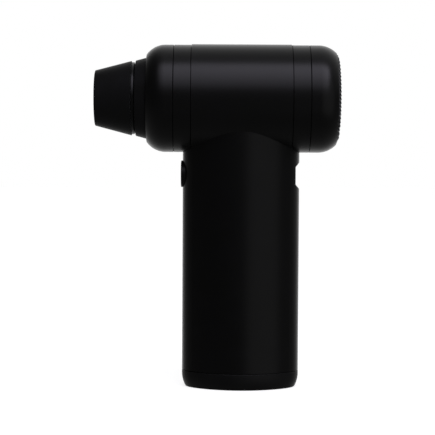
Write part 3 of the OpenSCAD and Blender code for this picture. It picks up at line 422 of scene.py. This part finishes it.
# %% [markdown]
# ## Rings and cowls
#
# Each ring carries a plug that sits in the sleeve. Each cowl is a spun cup whose wall runs straight
# and then rolls over into a shoulder, cut off by a flat end. The mesh's cap lies over the end of
# the rear cowl, so that end is drawn a little shorter than the part in the frame.

# %% Rings and cowls
SLEEVE_HALF = 19.7
RING_LENGTH = 7.0
RING_END = SLEEVE_HALF + RING_LENGTH
FRONT_LENGTH = 10.75
REAR_LENGTH = 11.3
MESH_OVERLAP = 0.6
SEAM = 0.2
RING_R = 21.2
RING_WALL = 1.7
RING_BORE = RING_R - RING_WALL
RING_STEP = 2.0
PLUG_R = 19.6
PLUG_WALL = 1.5
PLUG_REACH = 2.8
COWL_STEP = 1.5
COWL_PLUG_R = RING_BORE - 0.05
COWL_PLUG_BORE = RING_BORE - 1.25
COWL_PLUG_REACH = 4.5
EDGE = 0.12
SHOULDER_STEPS = 28
INNER_STEPS = 16


def ring_outline():
    """A ring with a plug that reaches into the sleeve."""
    start, end = SLEEVE_HALF + SEAM, RING_END - SEAM / 2
    step, plug_end = SLEEVE_HALF + RING_STEP, SLEEVE_HALF - PLUG_REACH
    return rounded([
        (start, RING_R, EDGE), (end, RING_R, EDGE), (end, RING_BORE), (step, RING_BORE),
        (step, PLUG_R - PLUG_WALL), (plug_end, PLUG_R - PLUG_WALL), (plug_end, PLUG_R, 0.3),
        (start, PLUG_R)])


def cowl_outline(flat, length, shoulder, mouth, end_wall):
    """A cup: straight wall, rolled shoulder, flat end with a round mouth, and a plug inside."""
    start, end = RING_END + SEAM / 2, RING_END + length
    bend = (RING_END + flat, RING_R - shoulder)
    outer_stop = math.degrees(math.acos((end - bend[0]) / shoulder))
    end_r = bend[1] + shoulder * math.sin(math.radians(outer_stop))
    inner_r = shoulder - RING_WALL
    inner_stop = math.degrees(math.acos((end - end_wall - bend[0]) / inner_r))
    step, plug_end = start + COWL_STEP, RING_END - COWL_PLUG_REACH
    corners = [(start, RING_R, EDGE)] + arc(bend, shoulder, 90, outer_stop, SHOULDER_STEPS)[:-1]
    corners += [(end, end_r, 0.1), (end, mouth, 0.25), (end - end_wall, mouth)]
    corners += arc(bend, inner_r, inner_stop, 90, INNER_STEPS)
    corners += [(step, RING_BORE), (step, COWL_PLUG_BORE), (plug_end, COWL_PLUG_BORE),
                (plug_end, COWL_PLUG_R), (start, COWL_PLUG_R)]
    return rounded(corners)


for side, toward in (("front", -1), ("rear", 1)):
    stand_for(lathe(f"{side}_ring_turned", ring_outline(), toward), f"{side}_barrel_ring", anodised)
front_cowl = cowl_outline(flat=3.3, length=FRONT_LENGTH, shoulder=9.2, mouth=14.6, end_wall=1.5)
rear_cowl = cowl_outline(flat=3.6, length=REAR_LENGTH - MESH_OVERLAP, shoulder=10.0, mouth=16.25,
                         end_wall=0.6)
stand_for(lathe("front_cowl_turned", front_cowl, -1), "front_cowl", anodised)
stand_for(lathe("rear_cowl_turned", rear_cowl), "rear_cowl", anodised)

# %% [markdown]
# ## Collar and nozzle
#
# The collar is a short cone that clips into the front cowl and ends in a spigot. The nozzle pushes
# onto the spigot and can be pulled off, so it rides on a body of its own. In the groove between
# them lies a narrow band of the same anodised metal as the barrel, which catches the softbox.

# %% Collar and nozzle
COWL_FRONT = RING_END + FRONT_LENGTH
COLLAR_START = COWL_FRONT + 0.05
COLLAR_END = COWL_FRONT + 4.35
COLLAR_BORE = 14.55
CLIP_START = COWL_FRONT - 1.55
CLIP_END = COWL_FRONT - 2.8
CLIP_R = 15.3
CLIP_BORE = 13.2
NECK_END = COLLAR_END + 1.5
GROOVE_R = 13.3
BAND_START = COLLAR_END + 0.5
BAND_END = NECK_END - 0.05
BAND_SEAT_R = 13.9
BAND_BORE = 13.92
BAND_R = 14.24
SPIGOT_END = NECK_END + 5.3
SPIGOT_R = 11.99
SPIGOT_BORE = 10.39
NOZZLE_START = NECK_END + 0.1
NOZZLE_END = NECK_END + 14.6
NOZZLE_SEAT = NECK_END + 5.4
NOZZLE_BORE = 12.04
NOZZLE_MOUTH = 9.59

collar = rounded([
    (COLLAR_START, 16.05, 0.25), (COLLAR_END, 14.9, 0.2), (COLLAR_END, GROOVE_R),
    (BAND_START, GROOVE_R), (BAND_START, BAND_SEAT_R), (BAND_END, BAND_SEAT_R),
    (BAND_END, GROOVE_R), (NECK_END, GROOVE_R), (NECK_END, SPIGOT_R), (SPIGOT_END, SPIGOT_R, 0.3),
    (SPIGOT_END, SPIGOT_BORE), (NECK_END - 0.75, SPIGOT_BORE), (CLIP_END, CLIP_BORE),
    (CLIP_END, CLIP_R, 0.3), (CLIP_START, CLIP_R), (CLIP_START, COLLAR_BORE),
    (COLLAR_START, COLLAR_BORE)])
stand_for(lathe("nozzle_collar_turned", collar, -1), "nozzle_collar", moulded)
band = rounded([(BAND_START, BAND_BORE), (BAND_START, BAND_R, EDGE), (BAND_END, BAND_R, EDGE),
                (BAND_END, BAND_BORE)])
neck_band = lathe("neck_band", band, -1)
neck_band.data.materials.append(anodised)
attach(neck_band, "body")
nozzle = rounded([
    (NOZZLE_START, 14.74, 0.2), (NOZZLE_END, 10.94, 0.4), (NOZZLE_END, NOZZLE_MOUTH, 0.4),
    (NOZZLE_END - 2, NOZZLE_MOUTH), (NOZZLE_SEAT, SPIGOT_BORE), (NOZZLE_SEAT, NOZZLE_BORE),
    (NOZZLE_START, NOZZLE_BORE, 0.2)])
stand_for(lathe("nozzle_turned", nozzle, -1), "nozzle", moulded, "nozzle")

# %% [markdown]
# ## The power button
#
# A round moulded cap that stands a little proud of the handle's front edge, with a shallow dish for
# the fingertip. Behind the wall it has a flange that keeps it in and a stem that meets the switch.

# %% The power button
BUTTON_Z = 84.2
BUTTON_R = 5.3
BUTTON_STEPS = 96
HANDLE_HALF = 23.125
BUTTON_FACE = HANDLE_HALF + 0.7
BUTTON_SEAT = BUTTON_FACE - 3.3
FLANGE_R = BUTTON_R + 0.9
FLANGE_START = BUTTON_SEAT - 0.05
FLANGE_END = BUTTON_SEAT - 1.05
DISH_SPHERE = 28.0
DISH_DEPTH = 0.25
DISH_STEPS = 6
STEM_R = 1.6
STEM_END = 18.175

sphere_mid = BUTTON_FACE + DISH_SPHERE
dish_half = math.degrees(math.acos(DISH_SPHERE / (DISH_SPHERE + DISH_DEPTH)))
button = arc((sphere_mid, 0), DISH_SPHERE + DISH_DEPTH, 180, 180 - dish_half, DISH_STEPS)
button += [
    (BUTTON_FACE, BUTTON_R, 0.4), (FLANGE_START, BUTTON_R), (FLANGE_START, FLANGE_R, 0.15),
    (FLANGE_END, FLANGE_R, 0.15), (FLANGE_END, STEM_R), (STEM_END, STEM_R, 0.15), (STEM_END, 0)]
power_button = lathe("power_button_turned", rounded(button), -1, BUTTON_Z, BUTTON_STEPS)
stand_for(power_button, "power_button", button_black, "button")

# %% [markdown]
# ## The intake mesh
#
# The real mesh is thin steel sheet, perforated in a honeycomb and then pressed into a cap with a
# rounded edge. It is made in that order here. The cap is flat over its middle and drops faster and
# faster towards its edge, which a power of the radius gives. Real holes of this kind are finer,
# and their crossings are hardly raised, but then the edge would melt into an even grey. So the
# pitch is drawn about half as coarse again, and every second crossing stands up like a bead.

# %% The cap's curve
COWL_REAR = RING_END + REAR_LENGTH
CAP_SEAT = COWL_REAR - 0.5
CAP_R = 17.6
CAP_RISE = 1.08
CAP_FULLNESS = 5
CAP_LIMIT = 0.995


def cap_x(radius):
    """How far along the axis the cap's outside is at a distance from the axis."""
    share = min(radius, CAP_LIMIT * CAP_R) / CAP_R
    return CAP_SEAT + CAP_RISE * math.sqrt(1 - share ** CAP_FULLNESS)


print(f"the cap rises {cap_x(0) - cap_x(CAP_R):.2f} mm above its edge")

# %% [markdown]
# ## A flat honeycomb
#
# Every cell starts as a six-sided disc. Discs that share corners become one sheet when their
# doubles are merged. Inset then draws each hole inside its cell, and the holes are punched out.

# %% A flat honeycomb
MESH_PITCH = 1.7
MESH_WEB = 0.2
CELL_MARGIN = 0.75
EDGE_MARGIN = 0.05
SAME_CORNER = 0.01

sheet = bmesh.new()
reach = math.ceil(CAP_R / MESH_PITCH) + 1
cell = MESH_PITCH / math.sqrt(3)
beads = set()
for row in range(-2 * reach, 2 * reach + 1):
    for col in range(-reach, reach + 1):
        up = row * MESH_PITCH * math.sqrt(3) / 2
        across = (col + (row % 2) / 2) * MESH_PITCH
        if math.hypot(across, up) > CAP_R - CELL_MARGIN:
            continue
        bmesh.ops.create_circle(sheet, cap_ends=True, segments=6, radius=cell,
                                matrix=Matrix.Translation((across, up, 0)))
        beads.add((round(across, 1), round(up + cell, 1)))
bmesh.ops.remove_doubles(sheet, verts=sheet.verts, dist=SAME_CORNER)
# the outermost corners are drawn onto a circle, where the rim takes over
for vert in sheet.verts:
    if vert.is_boundary:
        vert.co *= (CAP_R - EDGE_MARGIN) / vert.co.length
holes = list(sheet.faces)
bmesh.ops.inset_individual(sheet, faces=holes, thickness=MESH_WEB, use_even_offset=True)
bmesh.ops.delete(sheet, geom=holes, context="FACES_ONLY")
print(f"{len(holes)} holes of about {MESH_PITCH - 2 * MESH_WEB:.2f} mm")

# %% [markdown]
# ## Pressed onto the cap
#
# The sheet lies flat, so its own X and Y run across the barrel and up. Each of its points moves to
# the cap, and a bead is raised at right angles to the cap, which near the edge leans outwards. Two
# modifiers then give the sheet its thickness and round its punched edges.

# %% Pressed onto the cap
BEAD = 0.6
PROBE = 0.1
SHEET_T = 0.4

pressed = 0
for vert in sheet.verts:
    across, up = vert.co.x, vert.co.y
    radius = math.hypot(across, up)
    lean = math.atan2(cap_x(radius) - cap_x(radius + PROBE), PROBE)
    raised = BEAD if (round(across, 1), round(up, 1)) in beads else 0
    pressed += raised > 0
    grown = 1 + raised * math.sin(lean) / max(radius, 1)
    along = cap_x(radius) + raised * math.cos(lean)
    vert.co = Vector((along, across * grown, AXIS_MM + up * grown)) * MM
bmesh.ops.recalc_face_normals(sheet, faces=sheet.faces)
if sum(face.normal.x for face in sheet.faces) < 0:
    bmesh.ops.reverse_faces(sheet, faces=sheet.faces)
intake_mesh = finish_piece("intake_mesh_perforated", sheet)
thick = intake_mesh.modifiers.new("sheet_thickness", "SOLIDIFY")
thick.thickness = SHEET_T * MM
thick.offset = -1
soft = intake_mesh.modifiers.new("punched_edges", "SUBSURF")
soft.levels = 1
soft.render_levels = 1
stand_for(intake_mesh, "intake_mesh", powder_coat)
print(f"{pressed} raised crossings")

# %% [markdown]
# ## The mesh's rim
#
# The sheet's edge is folded over a turned rim. The rim's plate lies on the rear cowl's end, and a
# flange behind the cowl's mouth holds it there.

# %% The mesh's rim
RIM_R = CAP_R + 0.1
RIM_BORE = 15.9
RIM_TOP = CAP_SEAT + 0.12
RIM_UNDER = CAP_SEAT - 0.07
THROAT_R = 16.2
HOLD_R = 16.85
HOLD_START = COWL_REAR - 1.25
HOLD_END = COWL_REAR - 1.8

rim = rounded([
    (RIM_TOP, RIM_R, 0.08), (RIM_TOP, RIM_BORE), (HOLD_END, RIM_BORE), (HOLD_END, HOLD_R),
    (HOLD_START, HOLD_R), (HOLD_START, THROAT_R), (RIM_UNDER, THROAT_R), (RIM_UNDER, RIM_R, 0.08)])
stand_for(lathe("intake_mesh_rim", rim), "intake_mesh", powder_coat)

# %% [markdown]
# ## The camera
#
# The camera stands 0.64 m away, as high as the handle's top, and looks slightly down. It is turned
# by a third of a degree about its own axis, because the blower leans a little in the frame.

# %% The camera
IMAGE_PX = 435
SENSOR_MM = 36
AIM = Vector((-9.24, 0, 66.86)) * MM
DISTANCE = 644 * MM
FOCAL_PX = 1619.5
PITCH = math.radians(2.57)
ROLL = math.radians(0.3)

camera_data = bpy.data.cameras.new("camera")
camera_data.sensor_width = SENSOR_MM
camera_data.lens = FOCAL_PX * SENSOR_MM / IMAGE_PX
camera_data.clip_start = 0.01
camera_data.clip_end = 20
camera = bpy.data.objects.new("camera", camera_data)
bpy.context.scene.collection.objects.link(camera)
bpy.context.scene.camera = camera
look = Matrix.Rotation(math.pi / 2 - PITCH, 4, "X") @ Matrix.Rotation(ROLL, 4, "Z")
step_back = Vector((0, -math.cos(PITCH), math.sin(PITCH))) * DISTANCE
camera.matrix_world = Matrix.Translation(AIM + step_back) @ look
print(f"lens {camera_data.lens:.1f} mm, camera {step_back.length:.3f} m away")

# %% [markdown]
# ## The studio
#
# A black object shows hardly anything but reflections, so the room is drawn for them. Polished and
# satin surfaces see it darkest straight in front and white straight behind, which gives every edge
# its pale rim. Each table below runs from straight in front of the object, 0, to straight behind
# it, 1, and gives the room's brightness on the way. Overhead it rises soonest.

# %% How bright the room is
OVERHEAD = ((0, 0.03), (0.25, 0.05), (0.42, 0.1), (0.5, 0.14), (0.57, 0.17), (0.65, 0.23),
            (0.72, 0.28), (0.82, 0.4), (0.88, 0.54), (0.94, 0.82), (0.97, 1.0))
SIDES = ((0, 0.022), (0.25, 0.03), (0.42, 0.035), (0.5, 0.04), (0.6, 0.05), (0.72, 0.08),
         (0.82, 0.17), (0.88, 0.31), (0.94, 0.72), (0.97, 1.0))
BELOW = ((0, 0.035), (0.25, 0.05), (0.42, 0.065), (0.5, 0.075), (0.6, 0.095), (0.72, 0.13),
         (0.82, 0.2), (0.88, 0.33), (0.94, 0.72), (0.97, 1.0))
UP_FULL = 0.5
LEFT_WITHOUT_TOP = -0.45
LEFT_WITH_TOP = -0.05
FLAG_SHADE = 0.45
FLAG_FROM = -0.25
FLAG_FULL = -0.6
EVEN_LIGHT = 0.3
for name, table in (("overhead", OVERHEAD), ("sides", SIDES), ("below", BELOW)):
    print(f"{name}: {table[0][1]} in front, {table[-1][1]} behind")

# %% [markdown]
# ## The room in nodes
#
# The world's own direction is split into right, away and up. How far away picks the place in each
# table, and how far up or down blends from one table to the next. A black flag stands at the left
# and takes nearly half of the light there. Matt surfaces are lit evenly from all round, so that
# the object isn't lost in the dark, and the camera itself sees pure white.

# %% The room in nodes
scene = bpy.context.scene
scene.view_settings.view_transform = "Standard"
world = bpy.data.worlds.new("studio")
world.use_nodes = True
scene.world = world
sky = world.node_tree

direction = add(sky, "ShaderNodeTexCoord")
way = add(sky, "ShaderNodeSeparateXYZ", {"Vector": direction.outputs["Generated"]})
right, away, upward = way.outputs["X"], way.outputs["Y"], way.outputs["Z"]
behind = add(sky, "ShaderNodeMapRange", {"Value": away, "From Min": -1.0, "From Max": 1.0})
high = add(sky, "ShaderNodeMapRange", {"Value": upward, "From Min": 0.0, "From Max": UP_FULL})
low_down = add(sky, "ShaderNodeMapRange", {"Value": upward, "From Min": 0.0, "From Max": -UP_FULL})
unflagged = add(sky, "ShaderNodeMapRange",
                {"Value": right, "From Min": LEFT_WITHOUT_TOP, "From Max": LEFT_WITH_TOP})
above = add(sky, "ShaderNodeMath", {0: high, 1: unflagged}, operation="MULTIPLY")
leftward = add(sky, "ShaderNodeMapRange",
               {"Value": right, "From Min": FLAG_FROM, "From Max": FLAG_FULL})
flag = add(sky, "ShaderNodeMath", {0: leftward, 1: -FLAG_SHADE, 2: 1.0}, operation="MULTIPLY_ADD")
beside = add(sky, "ShaderNodeValToRGB", {"Fac": behind}, stops=SIDES)
room = add(sky, "ShaderNodeMath", {0: beside, 1: flag}, operation="MULTIPLY")
for share, table in ((above, OVERHEAD), (low_down, BELOW)):
    shade = add(sky, "ShaderNodeValToRGB", {"Fac": behind}, stops=table)
    room = add(sky, "ShaderNodeMix", {0: share, 2: room, 3: shade}, data_type="FLOAT")

path = add(sky, "ShaderNodeLightPath")
even = add(sky, "ShaderNodeMath", {0: path.outputs["Is Diffuse Ray"], 1: EVEN_LIGHT},
           operation="MULTIPLY")
lit = add(sky, "ShaderNodeMath", {0: room, 1: even}, operation="MAXIMUM")
seen = add(sky, "ShaderNodeMath", {0: lit, 1: path.outputs["Is Camera Ray"]}, operation="MAXIMUM")
background = sky.nodes["Background"]
background.inputs["Color"].default_value = (1, 1, 1, 1)
sky.links.new(seen.outputs["Value"], background.inputs["Strength"])
print(f"the room is made of {len(sky.nodes)} nodes")

# %% [markdown]
# ## The lamps
#
# One wide softbox hangs above and in front and makes the broad band along the barrel. Its bulb sits
# near its top and to the right, so its face is graded: its own nodes say how bright each part of
# the face is. A weak upright panel at the right makes the soft band down the handle.

# %% The lamps
TOP_UP = ((0, 0.25), (0.3, 0.6), (0.55, 0.95), (0.78, 1.15), (1, 1.0))
TOP_ACROSS = ((0, 0.3), (0.18, 0.6), (0.37, 0.99), (0.62, 1.24), (1, 1.75))
TOP_COLOUR = (0.89, 0.86, 1.0)
TOP_OFFSET = Vector((0, -0.708, 0.829))
TOP_SHIFT = Vector((0.105, 0, 0))
PANEL_OFFSET = Vector((0.825, -1.056, 0.0))


def softbox(name, place, aim, width, height, radiance, colour=(1, 1, 1), up=None, across=None):
    """A flat lamp that faces a point. A radiance of 1 is as bright as white paper."""
    lamp = bpy.data.lights.new(name, "AREA")
    lamp.shape = "RECTANGLE"
    lamp.size = width
    lamp.size_y = height
    lamp.energy = radiance * math.pi * width * height
    lamp.color = colour
    if up:
        lamp.use_nodes = True
        face = lamp.node_tree
        where = add(face, "ShaderNodeNewGeometry")
        sides = add(face, "ShaderNodeSeparateXYZ", {"Vector": where.outputs["Parametric"]})
        rise = add(face, "ShaderNodeValToRGB", {"Fac": sides.outputs["Y"]}, stops=up)
        run = add(face, "ShaderNodeValToRGB", {"Fac": sides.outputs["X"]}, stops=across)
        both = add(face, "ShaderNodeMath", {0: rise, 1: run}, operation="MULTIPLY")
        face.links.new(both.outputs["Value"], face.nodes["Emission"].inputs["Strength"])
    box = bpy.data.objects.new(name, lamp)
    box.location = place
    box.rotation_euler = (Vector(aim) - Vector(place)).to_track_quat("-Z", "Y").to_euler()
    box.visible_camera = False
    scene.collection.objects.link(box)
    print(f"{name}: {width} x {height} m, {lamp.energy:.2f} W")


barrel = Vector((0, 0, AXIS_MM)) * MM
softbox("softbox_top", barrel + TOP_SHIFT + TOP_OFFSET, barrel + TOP_SHIFT,
        width=1.45, height=1.13, radiance=1.08, colour=TOP_COLOUR, up=TOP_UP, across=TOP_ACROSS)
softbox("panel_right", barrel + PANEL_OFFSET, barrel, width=1.4, height=1.6, radiance=0.12)

# %% [markdown]
# ## The floor
#
# The floor is a wide plane just under the base. The camera sees a white board, a little lifted by
# light of its own so that it melts into the background, with the shade under the base still in it.
# Every other ray passes through it to the room, which is drawn below the floor as well.

# %% The floor
FLOOR_HALF = 3
FLOOR_DROP = 0.05
BOARD_GREY = 0.82
BOARD_GLOW = 0.72

floor_mesh = bmesh.new()
bmesh.ops.create_grid(floor_mesh, x_segments=1, y_segments=1, size=FLOOR_HALF)
floor = finish_piece("floor", floor_mesh)
floor.location.z = -FLOOR_DROP * MM
board, board_tree, board_surface = new_material(
    "pale_board", Base_Color=(BOARD_GREY, BOARD_GREY, BOARD_GREY, 1), Roughness=0.9,
    Specular_IOR_Level=0.1, Emission_Color=(1, 1, 1, 1), Emission_Strength=BOARD_GLOW)
clear = add(board_tree, "ShaderNodeBsdfTransparent")
view = add(board_tree, "ShaderNodeLightPath")
shown = add(board_tree, "ShaderNodeMixShader",
            {0: view.outputs["Is Camera Ray"], 1: clear, 2: board_surface})
board_tree.links.new(shown.outputs["Shader"], board_tree.nodes["Material Output"].inputs["Surface"])
floor.data.materials.append(board)
floor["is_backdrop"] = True

# %% [markdown]
# ## Done
#
# The last cell measures how far the dressed object reaches.

# %% Done
low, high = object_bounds()
